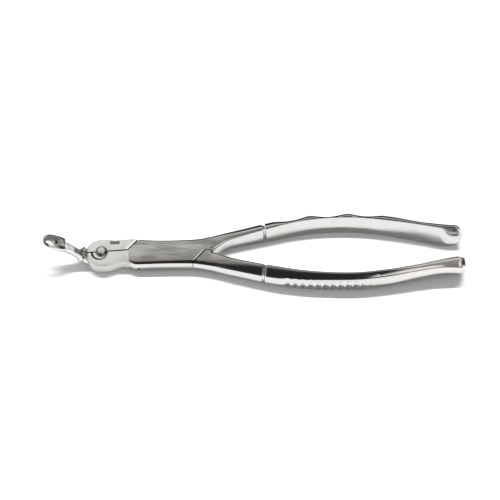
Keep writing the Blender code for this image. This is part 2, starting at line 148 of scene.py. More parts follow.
INNER_SQUARENESS = ((18.2, 6.0), (22.0, 6.0), (30.0, 3.5), (42.7, 2.2), (125.6, 2.1))
END_ROUNDING = 7.5
END_TOP_ROUNDING = 3.4
END_LEAST_HEIGHT = 0.3
END_CORNER = 2.6
END_LEAST_WIDTH = 0.5
HANDLE_SLOPE_SPAN = 0.5
GROOVE_X = 42.7
GROOVE_HALF = 0.8
GROOVE_DEPTH = 0.55
SCALLOP_PEAKS = (46.9, 61.9, 77.6, 92.0)
SCALLOP_DEPTHS = (1.4, 1.7, 1.4)
SCALLOP_POWER = 1.4
SERRATION_START = 51.0
SERRATION_COUNT = 15
SERRATION_PITCH = 3.1
SERRATION_RUNOUT = 6.0
SERRATION_DEPTH = 0.5
SERRATION_FLOOR = 0.15
SERRATION_EDGE = 0.80
SERRATION_FADE = 0.12

# Beaks: height of the mid line, half width of the pair and depth along X
BEAK_TIP = -49.3
BEAK_ROOT = -29.5
BEAK_RISE = (
    (-49.3, 14.2), (-47.5, 13.5), (-45.0, 12.3), (-41.2, 9.9), (-38.0, 6.7),
    (-35.0, 3.3), (-32.5, 1.0), (-29.5, 0.0),
)
BEAK_HALF_WIDTH = (
    (-49.3, 2.6), (-47.0, 3.2), (-44.5, 3.4), (-41.4, 3.15), (-38.0, 2.7),
    (-35.0, 2.8), (-32.5, 3.4), (-29.5, 4.4),
)
BEAK_DEPTH = (
    (-49.3, 1.7), (-47.0, 2.6), (-44.5, 3.3), (-41.4, 3.8), (-38.0, 4.1),
    (-35.0, 4.4), (-32.5, 5.2), (-29.5, 6.0),
)
BEAK_SQUARENESS = 0.62
BEAK_TIP_ROUNDING = 2.6
BEAK_LEAST_WIDTH = 0.3
BEAK_LEAST_DEPTH = 0.45
BEAK_SLOPE_SPAN = 0.4
HEAD_REAR = -41.2
HEAD_STEP = 0.3
HEAD_STEP_RUN = 0.4
RIM_X = -33.9
RIM_HALF = 0.7
RIM_RISE = 0.45
CUP_CENTRE = (-45.2, 13.1)
CUP_RADII = (3.7, 2.35, 2.3)
CUP_SLOPE = math.radians(24.0)

# Mesh resolution
HANDLE_RING = 56
HANDLE_STEP = 0.8
SERRATION_STEP = SERRATION_PITCH / 14.0
END_STEP = HANDLE_STEP / 3.0
CORNER_STEP = END_CORNER / 14.0
GROOVE_STEP = 0.08
BODY_STEP = 0.4
CORNER_POINTS = 8
BEAK_RING = 40
BEAK_STEP = 0.35
BEAK_TIP_STEP = BEAK_STEP / 3.0
HEAD_RING_STEP = HEAD_STEP_RUN / 4.0
RIM_STEP = RIM_HALF / 6.0
EGG_SEGMENTS = 48
EGG_RINGS = 32
ROUND_SEGMENTS = 72
SMOOTH_ANGLE = math.radians(32.0)

# Colours of the steel's finishes, and of the highlights, sheen, reflections and shade painted
# onto it
BRIGHT = (0.49, 0.49, 0.482, 1.0)
SATIN = (0.52, 0.515, 0.50)
BROWNED = (0.36, 0.315, 0.285, 1.0)
FROSTED = (0.58, 0.58, 0.565, 1.0)
FROSTED_DARK = (0.51, 0.51, 0.495, 1.0)
TARNISH = (0.40, 0.385, 0.37, 1.0)
BEAK_STEEL = (0.54, 0.54, 0.53, 1.0)
# Painted highlight: the upward faces of the beak's neck are painted much paler
NECK_PAINTED_HIGHLIGHT = (0.80, 0.80, 0.79, 1.0)
# Painted shade: the hollow of the beak cups is painted darker
CUP_PAINTED_SHADE = (0.42, 0.42, 0.41, 1.0)
# Painted sheen: the upward faces of the near handle's flare are painted paler and warmer
FLARE_PAINTED_SHEEN = (0.60, 0.575, 0.555, 1.0)
# Painted highlight: pale lines beside the shoulders of the lap joint, where a chamfer would
# catch the light
CHAMFER_PAINTED_HIGHLIGHT = (0.98, 0.98, 0.97, 1.0)
ROOT_SHADE = (0.10, 0.10, 0.095, 1.0)
EDGE_SHADE = (0.22, 0.22, 0.215, 1.0)
WAIST_SHADE = (0.12, 0.12, 0.115, 1.0)
NOTCH_SHADE = (0.16, 0.16, 0.155, 1.0)
STEP_SHADE = (0.22, 0.16, 0.14, 1.0)
# Painted black shade in the seams and the pin's notch, and a painted dark reflection on the
# near handle's end
PAINTED_BLACK_SHADE_AND_REFLECTION = (0.012, 0.011, 0.010, 1.0)

# How strongly a layer covers what is under it
STAIN_SHARE = 0.25
WARM_EDGE_SHARE = 0.6
WARM_PATCH_SHARE = 0.75
LOWER_EDGE_SHARE = 0.6
UPPER_EDGE_SHARE = 0.8
TOOTH_NOTCH_SHARE = 0.45
CHAMFER_HIGHLIGHT_SHARE = 0.8
STEP_SHARE = 0.35
PIN_NOTCH_SHARE = 0.85

# Noises in the steel: scale, detail and stretch along X, Y and Z
NOISES = {
    "cloud": (160.0, 3.0),
    "speck": (2600.0, 4.0),
    "grain": (1.0, 5.0, (220.0, 7000.0, 7000.0)),
    "streak": (1.0, 3.0, (75.0, 520.0, 260.0)),
    "hairline": (1.0, 2.0, (60.0, 2600.0, 2600.0)),
    "wave": (1.0, 2.0, (55.0, 160.0, 160.0)),
}

# Zones of the finishes and of the painted light and shade: each limit names a field, where
# the zone starts in it and where it is full. A zone is where all its limits hold.
ZONES = {
    "flat": (("level", 0.93, 0.99),),
    "box_front": (("x", BOX_FRONT - 0.2, BOX_FRONT), ("behind_shoulder", -0.1, 0.1)),
    "box_rear": (("x", 38.0, 21.0),),
    "arm_front": (("x", -32.0, -30.6),),
    "cloudy": (("cloud", 0.35, 0.7),),
    "smudged": (("cloud", 0.3, 0.75),),
    "stain": (("cloud", 0.55, 0.8),),
    "warm_edge": (("y", -1.2, -4.2), ("streak", 0.35, 0.6)),
    "warm_patch": (("x", -10.5, -8.0), ("x", 1.0, -4.0), ("y", -4.6, -3.8),
                   ("y", -1.4, -2.6), ("streak", 0.25, 0.55)),
    "beak": (("x", -31.5, -32.5),),
    # The beak neck's upward faces, painted paler as a highlight
    "neck_run": (("x", -40.6, -39.6), ("x", -33.6, -34.6)),
    "neck_top": (("facing_z", 0.25, 0.6),),
    "beak_root": (("x", -37.4, -36.0), ("x", -33.6, -34.2), ("y", 0.2, -0.3),
                  ("y", -2.3, -1.7)),
    "lower_edge": (("facing_z", 0.06, -0.2), ("facing_y", 0.0, -0.3)),
    "upper_edge": (("facing_y", 0.35, 0.7),),
    # The cups' hollow, painted darker as shade
    "cup": (("from_cup", 1.06, 1.0),),
    "waist": (("x", -22.2, -21.8), ("x", -17.8, -18.2), ("y", 3.6, 3.8), ("y", 5.6, 5.3),
              ("z", 5.2, 5.5)),
    # The near handle's upward faces at its flare, painted paler and warmer as a sheen
    "flare": (("y", 0.0, -1.0), ("x", 92.0, 106.0), ("facing_z", 0.0, 0.4)),
    # The near handle's rounded end, painted black as a dark reflection
    "end_cap": (("y", 0.0, -1.0), ("x", 124.2, 124.7), ("y", -10.4, -9.8)),
    "tooth_notches": (("notches", 0.1, 0.9), ("turns", 0.0, 0.3),
                      ("turns", SERRATION_COUNT, 9.0), ("y", -12.0, -14.0),
                      ("z", 5.2, 4.4), ("z", -1.0, 0.0)),
    # Seams of the lap joint and the notch around the guide pin, painted black as shade
    "seams_run": (("x", -33.0, -32.0),),
    "pin_notch": (("from_pin", 4.4, 4.2), ("z", 6.5, 6.2), ("z", 2.5, 3.0)),
    "hollow": (("facing_y", -0.6, -0.85), ("y", 0.0, 2.0), ("x", 30.0, 48.0),
               ("x", 120.0, 116.0)),
}

# Tone of the ground box: field, start, end, and the tone at each
BOX_TONES = (
    ("x", BOX_FRONT, -7.5, 1.34, 0.97), ("y", 2.4, 4.0, 1.05, 0.84),
    ("y", -5.4, -3.6, 0.7, 1.0), ("streak", 0.36, 0.62, 0.78, 1.22),
)

# Roughness and lost metal that each zone adds
POLISH_ROUGHNESS = 0.055
ROUGHNESS = (
    ("smudged", 0.05), ("box", 0.22), ("arm", 0.36), ("ground", 0.10), ("beak", 0.12),
    ("cup", 0.3),
)
DULLNESS = (("arm", 0.5), ("box", 0.12), ("cup", 0.45), ("neck", 0.5), ("flare", 0.22))

# Surface: strength and depth of the grinding, frosting, waves and hairlines, and
# the sag of the far handle's hollow face from one station to another
BUMPS = ((0.35, 0.00006), (0.35, 0.00004), (0.25, 0.0004), (0.02, 0.00004))
HOLLOW_SAG = (88.0, 110.0, 0.085, 0.24)

# Lines in plan: seams of the lap joint, painted black as shade in their gaps; painted
# highlights beside them, where a chamfer would catch the light; painted shade along the box's
# step
SEAM_HALF = 0.22
SEAM_FADE = 0.12
SEAMS = ((PARTING_FRONT, FRONT_SHOULDER[0]), FRONT_SHOULDER, REAR_SHOULDER)
CHAMFER_HIGHLIGHT_LINES = (((-15.1, 1.45), (-11.4, 5.5)), ((12.2, -5.4), (17.1, 0.4)))
STEP_LINE = ((BOX_FRONT, -6.0), (BOX_FRONT, 0.4))

# Finish of the guide pin, whose flank colours are a painted dark reflection
PIN_CROWN_STEEL = (0.42, 0.42, 0.41, 1.0)
# The flank is painted dark as the dark reflection of its polished cone
PIN_FLANK_REFLECTION_DARK = (0.16, 0.155, 0.15, 1.0)
PIN_FLANK_REFLECTION_PALE = (0.24, 0.235, 0.23, 1.0)
PIN_CROWN_FADE = 0.1
PIN_CROWN_DULLNESS = 0.55
PIN_RING_PITCH = 0.12
PIN_RING_BUMP = (0.12, 0.00001)
PIN_SPECK = (2200.0, 3.0)
PIN_ROUGHNESS = (0.2, 0.8, 0.22, 0.34)

# Camera and studio
CAMERA_DISTANCE = 1.2
CAMERA_ELEVATION = math.radians(60.0)
CAMERA_ROLL = math.radians(1.07)
CAMERA_RIGHT = 0.0364
CAMERA_UP = 0.0021
CAMERA_CLIP = (0.05, 20.0)
VIEW_SPAN = 0.2092
SENSOR = 36.0
FLOOR_LEVEL = -4.4
FLOOR_FALL = 0.0165
FLOOR_REACH = 3.0
FLOOR_CELLS = 8
FLOOR_PALE = ((0.90, 0.90, 0.90, 1.0), (0.93, 0.93, 0.93, 1.0))
FLOOR_CLOUD = (6.0, 2.0)
FLOOR_ROUGHNESS = 0.9
LAMP_DISTANCE = 2.0
LAMP_TOWARDS = (0.02, 0.34, 1.0)
LAMP_POWER = 68.0
LAMP_LENGTH = 1.9
LAMP_DEPTH = 0.12
BACKDROP = (0.95, 0.95, 0.95, 1.0)

# Brightness of the studio around the X axis, from the camera's horizon (0) over
# the top (0.5) to the far horizon (1)
STUDIO = (
    (0.0, 0.30), (0.05, 0.09), (0.10, 0.035), (0.52, 0.04), (0.58, 0.07),
    (0.63, 0.26), (0.665, 0.42), (0.70, 0.58), (0.73, 1.1), (0.77, 1.1), (0.80, 0.06),
    (1.0, 0.03),
)
STUDIO_TINT = (1.0, 0.985, 0.97)

# Panels of the studio by direction along X, each from nothing to full
LEFT_PANEL = (-0.35, -0.75)
LEFT_PANEL_COLOUR = (0.9, 0.9, 0.9, 1.0)
RIGHT_PANEL = (0.78, 0.94)
RIGHT_PANEL_COLOUR = (0.12, 0.117, 0.113, 1.0)
WINDOW_ALONG = ((0.15, 0.19), (0.70, 0.62))
WINDOW_AROUND = ((0.06, 0.10), (0.6, 0.5))
WINDOW_COLOUR = (1.2, 1.17, 1.13, 1.0)


def spline(keys, x):
    """Smooth curve through (x, value) keys, held level beyond both ends."""
    if x <= keys[0][0]:
        return keys[0][1]
    if x >= keys[-1][0]:
        return keys[-1][1]
    index = max(i for i in range(len(keys) - 1) if keys[i][0] <= x)

    def slope(i):
        low, high = max(i - 1, 0), min(i + 1, len(keys) - 1)
        return (keys[high][1] - keys[low][1]) / (keys[high][0] - keys[low][0])

    (x0, v0), (x1, v1) = keys[index], keys[index + 1]
    run = x1 - x0
    t = (x - x0) / run
    return (
        v0 * (2 * t**3 - 3 * t**2 + 1)
        + slope(index) * run * (t**3 - 2 * t**2 + t)
        + v1 * (3 * t**2 - 2 * t**3)
        + slope(index + 1) * run * (t**3 - t**2)
    )


def stations(start, end, step):
    """Evenly spaced values from start to end, no more than step apart."""
    count = max(1, math.ceil((end - start) / step))
    return [start + (end - start) * i / count for i in range(count + 1)]


def run_places(runs):
    """Stations through consecutive (start, end, step) runs, no end twice."""
    places = [runs[0][0]]
    for start, end, step in runs:
        places += stations(start, end, step)[1:]
    return places


def smoothstep(t):
    """Smooth rise from zero to one as t goes from zero to one."""
    t = min(max(t, 0.0), 1.0)
    return t * t * (3.0 - 2.0 * t)


def blend(least, t):
    """From least at t = 0 to one at t = 1."""
    return least + (1.0 - least) * t


def make_object(name, bm):
    """Turn a bmesh in millimetres into an object in metres."""
    bmesh.ops.recalc_face_normals(bm, faces=bm.faces)
    bmesh.ops.scale(bm, vec=(MM, MM, MM), verts=bm.verts)
    mesh = bpy.data.meshes.new(name)
    bm.to_mesh(mesh)
    bm.free()
    obj = bpy.data.objects.new(name, mesh)
    bpy.context.scene.collection.objects.link(obj)
    return obj


def loft(name, rings):
    """Closed solid through rings of equal point counts, with flat end caps."""
    bm = bmesh.new()
    loops = [[bm.verts.new(point) for point in ring] for ring in rings]
    for first, second in zip(loops, loops[1:]):
        for i in range(len(first)):
            j = (i + 1) % len(first)
            bm.faces.new((first[i], first[j], second[j], second[i]))
    bm.faces.new(loops[0])
    bm.faces.new(loops[-1])
    return make_object(name, bm)


def prism(name, outline, bottom, top):
    """Upright prism over a plan outline."""
    return loft(name, [[(x, y, z) for x, y in outline] for z in (bottom, top)])


def turned(name, centre, profile):
    """Round solid from (radius, z) pairs, bottom to top, on an upright axis."""
    angles = [2.0 * math.pi * i / ROUND_SEGMENTS for i in range(ROUND_SEGMENTS)]
    rings = []
    for radius, z in profile:
        rings.append([
            (centre[0] + radius * math.cos(a), centre[1] + radius * math.sin(a), z)
            for a in angles
        ])
    return loft(name, rings)


def outset(outline, distance):
    """Move every edge of a counter-clockwise outline outwards by distance."""
    moved = []
    for i, point in enumerate(outline):
        here = Vector(point)
        before = (here - Vector(outline[i - 1])).normalized()
        after = (Vector(outline[(i + 1) % len(outline)]) - here).normalized()
        normal_before = Vector((before.y, -before.x))
        normal_after = Vector((after.y, -after.x))
        mitre = (normal_before + normal_after).normalized()
        moved.append(tuple(here + mitre * (distance / mitre.dot(normal_after))))
    return moved


def combine(target, other, operation):
    """Join, cut or intersect target with other, and remove other."""
    modifier = target.modifiers.new(operation.title(), 'BOOLEAN')
    modifier.operation = operation
    modifier.solver = 'EXACT'
    modifier.object = other
    depsgraph = bpy.context.evaluated_depsgraph_get()
    mesh = bpy.data.meshes.new_from_object(target.evaluated_get(depsgraph))
    target.modifiers.clear()
    old_mesh = target.data
    target.data = mesh
    bpy.data.meshes.remove(old_mesh)
    bpy.data.objects.remove(other)
    mesh.name = target.name


def body_half_width(keys, x):
    """Half width of the joint body at a station: rounded knuckle, then the keys."""
    if x < KNUCKLE_X:
        return keys[0][1] * math.sqrt(1.0 - ((x - KNUCKLE_X) / KNUCKLE_LENGTH) ** 2)
    return spline(keys, x)


def rounded_rectangle(x, left, right, half_height, radius):
    """Upright section with rounded corners at a station on the X axis."""
    points = []
    for quadrant in range(4):
        centre_y = left - radius if quadrant in (0, 3) else radius - right
        centre_z = half_height - radius if quadrant in (0, 1) else radius - half_height
        for i in range(CORNER_POINTS):
            angle = 0.5 * math.pi * (quadrant + i / (CORNER_POINTS - 1))
            points.append((
                x,
                centre_y + radius * math.cos(angle),
                centre_z + radius * math.sin(angle),
            ))
    return points


def joint_body(name, left_keys, right_keys):
    """Knuckle, arms and box in one piece, before the lap joint divides it."""
    places = stations(KNUCKLE_FRONT, KNUCKLE_X, BODY_STEP / 2.0)
    places += stations(KNUCKLE_X, BOX_FRONT - STEP_RUN, BODY_STEP)[1:]
    places += stations(BOX_FRONT, BODY_REAR, BODY_STEP)
    rings = []
    for x in places:
        height = BOX_HEIGHT if x >= BOX_FRONT else ARM_HEIGHT
        left = body_half_width(left_keys, x)
        right = body_half_width(right_keys, x)
        radius = spline(EDGE_RADIUS, x)
        rings.append(rounded_rectangle(x, left, right, height / 2.0, radius))
    return loft(name, rings)


def lap_cuts(parting_side):
    """Outlines that the other half fills: front arm, handle root and slot.

    They are for a half whose layer is on top; parting_side mirrors the slant of
    the parting line for the half that is turned over afterwards.
    """
    parting_front = (PARTING_FRONT[0], parting_side * PARTING_FRONT[1])
    (x0, y0), (x1, y1) = FRONT_SHOULDER
    apex = (x0, parting_side * y0)
    lean = (x1 - x0) / (y1 - y0)
    beyond = x1 + lean * (REACH - y1)
    other_arm = [parting_front, apex, (x1, y1), (beyond, REACH), (-REACH * 2.0, REACH)]
    (x2, y2), (x3, y3) = REAR_SHOULDER
    rear_apex = (x3, parting_side * y3)
    other_root = [(x2 - REAR_SLANT, -REACH), (REACH * 2.0, -REACH), (REACH * 2.0, 0.0),
                  rear_apex, (x2, y2)]
    slot = [apex, (x1, -y1), (x1, -REACH), (REACH * 2.0, -REACH), (REACH * 2.0, 0.0),
            rear_apex, (x2, -y2), (x2 - REAR_SLANT, REACH), (x0, REACH)]
    return other_arm, other_root, slot


def half_body(name, parting_side):
    """One half's share of the joint body, its layer on top."""
    widths = (FAR_HALF_WIDTH, NEAR_HALF_WIDTH)
    if parting_side < 0.0:
        widths = (NEAR_HALF_WIDTH, FAR_HALF_WIDTH)
    body = joint_body(name, *widths)
    other_arm, other_root, slot = lap_cuts(parting_side)
    tall = BOX_HEIGHT
    gap = CLEARANCE / 2.0
    combine(body, prism("cut_arm", outset(other_arm, gap), -tall, tall), 'DIFFERENCE')
    combine(body, prism("cut_root", outset(other_root, gap), -tall, tall), 'DIFFERENCE')
    combine(body, prism("cut_slot", outset(slot, gap), -tall, gap), 'DIFFERENCE')
    return body


def scallop(x):
    """How far the outer side of the far handle is cut back at a station."""
    for start, end, depth in zip(SCALLOP_PEAKS, SCALLOP_PEAKS[1:], SCALLOP_DEPTHS):
        if start <= x <= end:
            return depth * math.sin(math.pi * (x - start) / (end - start)) ** SCALLOP_POWER
    return 0.0


def serration(x):
    """Depth of the teeth on the outer side of the near handle at a station."""
    turns = (x - SERRATION_START) / SERRATION_PITCH
    if 0.0 <= turns <= SERRATION_COUNT:
        fade = smoothstep((SERRATION_COUNT - turns) / SERRATION_RUNOUT)
        return fade * (SERRATION_FLOOR + SERRATION_DEPTH * math.sin(math.pi * turns) ** 2)
    return 0.0


def rounding(distance, run, least):
    """Quarter-ellipse growth from least at an end to one, run away from it."""
    t = min(distance / run, 1.0)
    return blend(least, math.sqrt(max(0.0, 1.0 - (1.0 - t) ** 2)))


def handle_ring(x, side, scalloped):
    """Section of a handle, square to its line: flatter inside, round outside."""
    line, lean = (FAR_LINE, FAR_LEAN) if scalloped else (NEAR_LINE, NEAR_LEAN)
    rise = spline(line, x + HANDLE_SLOPE_SPAN) - spline(line, x - HANDLE_SLOPE_SPAN)
    across = Vector((-rise, HANDLE_SLOPE_SPAN * 2.0)).normalized()
    groove = GROOVE_DEPTH * (1.0 - smoothstep(abs(x - GROOVE_X) / GROOVE_HALF))
    outer_reach = FAR_OUTER_REACH if scalloped else NEAR_OUTER_REACH
    inner_reach = FAR_INNER_REACH if scalloped else NEAR_INNER_REACH
    left = (FAR_END if scalloped else NEAR_END) - x
    slim = rounding(left, END_CORNER, END_LEAST_WIDTH)
    half_height = spline(HALF_HEIGHT, x) - groove
    above = half_height * rounding(left, END_TOP_ROUNDING, END_LEAST_HEIGHT)
    below = half_height * rounding(left, END_ROUNDING, END_LEAST_HEIGHT)
    ring = []
    for i in range(HANDLE_RING):
        angle = 2.0 * math.pi * i / HANDLE_RING
        cosine, sine = math.cos(angle), math.sin(angle)
        reach, squareness = inner_reach, INNER_SQUARENESS
        if cosine > 0.0:
            reach, squareness = outer_reach, OUTER_SQUARENESS
        power = 2.0 / spline(squareness, x)
        width = (spline(reach, x) - groove) * slim
        offset = math.copysign(abs(cosine) ** power, cosine) * width
        height = above * sine**power if sine > 0.0 else -below * (-sine) ** power
        if scalloped:
            offset -= scallop(x) * math.sqrt(max(0.0, cosine))
        else:
            offset -= serration(x) * smoothstep((cosine - SERRATION_EDGE) / SERRATION_FADE)
        offset += spline(lean, x) * height
        across_y = spline(line, x) + across.y * offset
        ring.append((x + across.x * offset, side * across_y, height))
    return ring


def handle(name, side, scalloped):
    """A whole handle, in finer steps at its groove, teeth and end."""
    groove_front, groove_rear = GROOVE_X - GROOVE_HALF, GROOVE_X + GROOVE_HALF
    serration_end = SERRATION_START + SERRATION_COUNT * SERRATION_PITCH
    handle_end = FAR_END if scalloped else NEAR_END
    feature_step = HANDLE_STEP if scalloped else SERRATION_STEP
    runs = (
        (HANDLE_START, groove_front, HANDLE_STEP), (groove_front, groove_rear, GROOVE_STEP),
        (groove_rear, SERRATION_START, HANDLE_STEP),
        (SERRATION_START, serration_end, feature_step),
        (serration_end, handle_end - END_ROUNDING, HANDLE_STEP),
        (handle_end - END_ROUNDING, handle_end - END_CORNER, END_STEP),
        (handle_end - END_CORNER, handle_end, CORNER_STEP),
    )
    return loft(name, [handle_ring(x, side, scalloped) for x in run_places(runs)])


def beak_ring(x, side):
    """Section of a beak: flat inside, rounded outside, square to its rise."""
    height = spline(BEAK_RISE, x)
    swell = RIM_RISE * (1.0 - smoothstep(abs(x - RIM_X) / RIM_HALF))
    swell -= HEAD_STEP * smoothstep((x - HEAD_REAR) / HEAD_STEP_RUN)
    ahead, behind = min(x + BEAK_SLOPE_SPAN, BEAK_ROOT), max(x - BEAK_SLOPE_SPAN, BEAK_TIP)
    slope = (spline(BEAK_RISE, ahead) - spline(BEAK_RISE, behind)) / (ahead - behind)
    up = Vector((-slope, 1.0)).normalized()
    inner = CLEARANCE / 2.0
    tip = max(0.0, 1.0 - (x - BEAK_TIP) / BEAK_TIP_ROUNDING)
    growth = math.sqrt(max(0.0, 1.0 - tip * tip))
    width = (spline(BEAK_HALF_WIDTH, x) - inner + swell) * blend(BEAK_LEAST_WIDTH, growth)
    depth = (spline(BEAK_DEPTH, x) / 2.0 + swell) * blend(BEAK_LEAST_DEPTH, growth)
    ring = []
    for i in range(BEAK_RING):
        angle = math.pi * (i / (BEAK_RING - 1) - 0.5)
        cosine, sine = math.cos(angle), math.sin(angle)
        out = width * abs(cosine) ** BEAK_SQUARENESS
        rise = depth * math.copysign(abs(sine) ** BEAK_SQUARENESS, sine)
        ring.append((x + up.x * rise, side * (inner + out), height + up.y * rise))
    return ring


def beak(name, side):
    """A whole beak, in finer steps at its tip, head step and rim."""
    tip_end = BEAK_TIP + BEAK_TIP_ROUNDING
    head_step_end = HEAD_REAR + HEAD_STEP_RUN
    rim_front, rim_rear = RIM_X - RIM_HALF, RIM_X + RIM_HALF
    runs = (
        (BEAK_TIP, tip_end, BEAK_TIP_STEP), (tip_end, HEAD_REAR, BEAK_STEP),
        (HEAD_REAR, head_step_end, HEAD_RING_STEP),
        (head_step_end, rim_front, BEAK_STEP), (rim_front, rim_rear, RIM_STEP),
        (rim_rear, BEAK_ROOT, BEAK_STEP),
    )
    return loft(name, [beak_ring(x, side) for x in run_places(runs)])


def egg(name, centre, radii, slope):
    """Ellipsoid cutter, tipped about the Y axis."""
    bm = bmesh.new()
    bmesh.ops.create_uvsphere(bm, u_segments=EGG_SEGMENTS, v_segments=EGG_RINGS, radius=1.0)
    turn = Matrix.Rotation(slope, 4, 'Y')
    shape = Matrix.Translation(centre) @ turn @ Matrix.Diagonal((*radii, 1.0))
    bmesh.ops.transform(bm, matrix=shape, verts=bm.verts)
    return make_object(name, bm)


def cup_cutter():
    """Long egg that hollows the beak tips between them."""
    return egg("cut_cup", (CUP_CENTRE[0], 0.0, CUP_CENTRE[1]), CUP_RADII, CUP_SLOPE)


def waist_facet():
    """Ball that dishes the top edge of the far arm's waist."""
    return egg("cut_waist", WAIST_FACET_POINT, (WAIST_FACET_RADIUS,) * 3, 0.0)


def beside_pin(shift):
    """Plan point at a shift from the guide pin's axis."""
    return (PIN_POINT[0] + shift[0], PIN_POINT[1] + shift[1])


def add_round(target, centre, radius, bottom, top):
    """Join an upright cylinder to target."""
    combine(target, turned("boss", centre, [(radius, bottom), (radius, top)]), 'UNION')


def cut_round(target, centre, radius, bottom, top):
    """Cut an upright cylinder out of target."""
    cutter = turned("cut_round", centre, [(radius, bottom), (radius, top)])
    combine(target, cutter, 'DIFFERENCE')


def rivet_profile(extra):
    """Half outline of the rivet, wider than it by extra, from face to face."""
    half = BOX_HEIGHT / 2.0
    shoulder = half - RIVET_SINK
    return [
        (RIVET_HEAD + extra, -half), (RIVET_SHANK + extra, -shoulder),
        (RIVET_SHANK + extra, shoulder), (RIVET_HEAD + extra, half),
    ]


def rivet_hole():
    """Cutter for the rivet's seat, a little wider than the rivet."""
    profile = rivet_profile(RIVET_GAP)
    past = BOX_HEIGHT
    wide = profile[0][0]
    return turned("cut_rivet", (0.0, 0.0), [(wide, -past)] + profile + [(wide, past)])


# Materials

# Colour sockets of the mix node, which also has sockets for other kinds of value
MIX_FIRST = 6
MIX_SECOND = 7
MIX_RESULT = 2


class Nodes:
    """Short ways to add and join shader nodes in one tree."""

    def __init__(self, tree):
        self.tree = tree

    def add(self, kind, **inputs):
        node = self.tree.nodes.new(kind)
        for key, value in inputs.items():
            self.put(node.inputs[key.replace("_", " ")], value)
        return node

    def put(self, socket, value):
        if isinstance(value, bpy.types.NodeSocket):
            self.tree.links.new(value, socket)
        else:
            socket.default_value = value

    def math(self, operation, first, second=0.0):
        node = self.tree.nodes.new("ShaderNodeMath")
        node.operation = operation
        self.put(node.inputs[0], first)
        self.put(node.inputs[1], second)
        return node.outputs[0]

    def scaled(self, vector, scale):
        node = self.tree.nodes.new("ShaderNodeVectorMath")
        node.operation = 'SCALE'
        self.put(node.inputs[0], vector)
        self.put(node.inputs["Scale"], scale)
        return node.outputs[0]

    def vector_sum(self, first, second):
        node = self.tree.nodes.new("ShaderNodeVectorMath")
        node.operation = 'ADD'
        self.put(node.inputs[0], first)
        self.put(node.inputs[1], second)
        return node.outputs[0]

    def ramp(self, value, start, end, low=0.0, high=1.0):
        """Smooth change from low to high as value goes from start to end."""
        node = self.tree.nodes.new("ShaderNodeMapRange")
        node.interpolation_type = 'SMOOTHSTEP'
        for index, setting in enumerate((value, start, end, low, high)):
            self.put(node.inputs[index], setting)
        return node.outputs[0]

    def mix(self, share, first, second):
        """Colour that goes from first to second as share goes from zero to one."""
        node = self.tree.nodes.new("ShaderNodeMix")
        node.data_type = 'RGBA'
        self.put(node.inputs[0], share)
        self.put(node.inputs[MIX_FIRST], first)
        self.put(node.inputs[MIX_SECOND], second)
        return node.outputs[MIX_RESULT]

    def add_up(self, *values):
        total = values[0]
        for value in values[1:]:
            total = self.math('ADD', total, value)
        return total

    def times(self, *values):
        product = values[0]
        for value in values[1:]:
            product = self.math('MULTIPLY', product, value)
        return product

    def most(self, *values):
        greatest = values[0]
        for value in values[1:]:
            greatest = self.math('MAXIMUM', greatest, value)
        return greatest

    def length(self, *parts):
        """Length of the vector that has these parts."""
        return self.math('SQRT', self.add_up(*[self.times(part, part) for part in parts]))

    def noise(self, coordinates, scale, detail, stretch=(1.0, 1.0, 1.0)):
        mapping = self.add("ShaderNodeMapping", Vector=coordinates, Scale=stretch)
        texture = self.add("ShaderNodeTexNoise", Vector=mapping.outputs[0],
                           Scale=scale, Detail=detail)
        return texture.outputs[0]

    def bump(self, height, strength, distance, normal=None):
        """Normal tilted by a height field, starting from another normal if given."""
        node = self.add("ShaderNodeBump", Height=height, Strength=strength,
                        Distance=distance)
        if normal is not None:
            self.put(node.inputs["Normal"], normal)
        return node.outputs[0]


def new_material(name):
    """A node material, with its tree's helper and its shader's inputs."""
    material = bpy.data.materials.new(name)
    material.use_nodes = True
    shader = material.node_tree.nodes["Principled BSDF"]
    return material, Nodes(material.node_tree), shader.inputs


def steel_fields(n):
    """What zones and shares are read from: place in mm, facing, noises and more."""
    coordinates = n.add("ShaderNodeTexCoord").outputs
    place = coordinates["Object"]
    in_mm = n.scaled(place, 1.0 / MM)
    x, y, z = n.add("ShaderNodeSeparateXYZ", Vector=in_mm).outputs
    facing = n.add("ShaderNodeSeparateXYZ", Vector=coordinates["Normal"]).outputs
    fields = {"x": x, "y": y, "z": z, "facing_y": facing[1], "facing_z": facing[2]}
    fields["level"] = n.math('ABSOLUTE', facing[2])
    for name, settings in NOISES.items():
        fields[name] = n.noise(place, *settings)
    fields["turns"] = n.math('DIVIDE', n.math('SUBTRACT', x, SERRATION_START), SERRATION_PITCH)
    fields["notches"] = n.math('SINE', n.times(fields["turns"], 2.0 * math.pi))
    fields["behind_shoulder"] = beside_line(n, fields, *FRONT_SHOULDER)
    fields["from_pin"] = n.length(n.math('SUBTRACT', x, PIN_POINT[0]),
                                  n.math('SUBTRACT', y, PIN_POINT[1]))
    cup_height = CUP_CENTRE[1] + MESH_LIFT / MM
    fields["from_cup"] = n.length(
        n.math('DIVIDE', n.math('SUBTRACT', x, CUP_CENTRE[0]), CUP_RADII[0]),
        n.math('DIVIDE', n.math('SUBTRACT', z, cup_height), CUP_RADII[2]),
        n.math('DIVIDE', y, CUP_RADII[1]),
    )
    return fields


def beside_line(n, fields, start, end):
    """Distance to the right of a line between two plan points."""
    along = (Vector(end) - Vector(start)).normalized()
    offset_x = n.math('SUBTRACT', fields["x"], start[0])
    offset_y = n.math('SUBTRACT', fields["y"], start[1])
    return n.math('SUBTRACT', n.times(offset_x, along.y), n.times(offset_y, along.x))


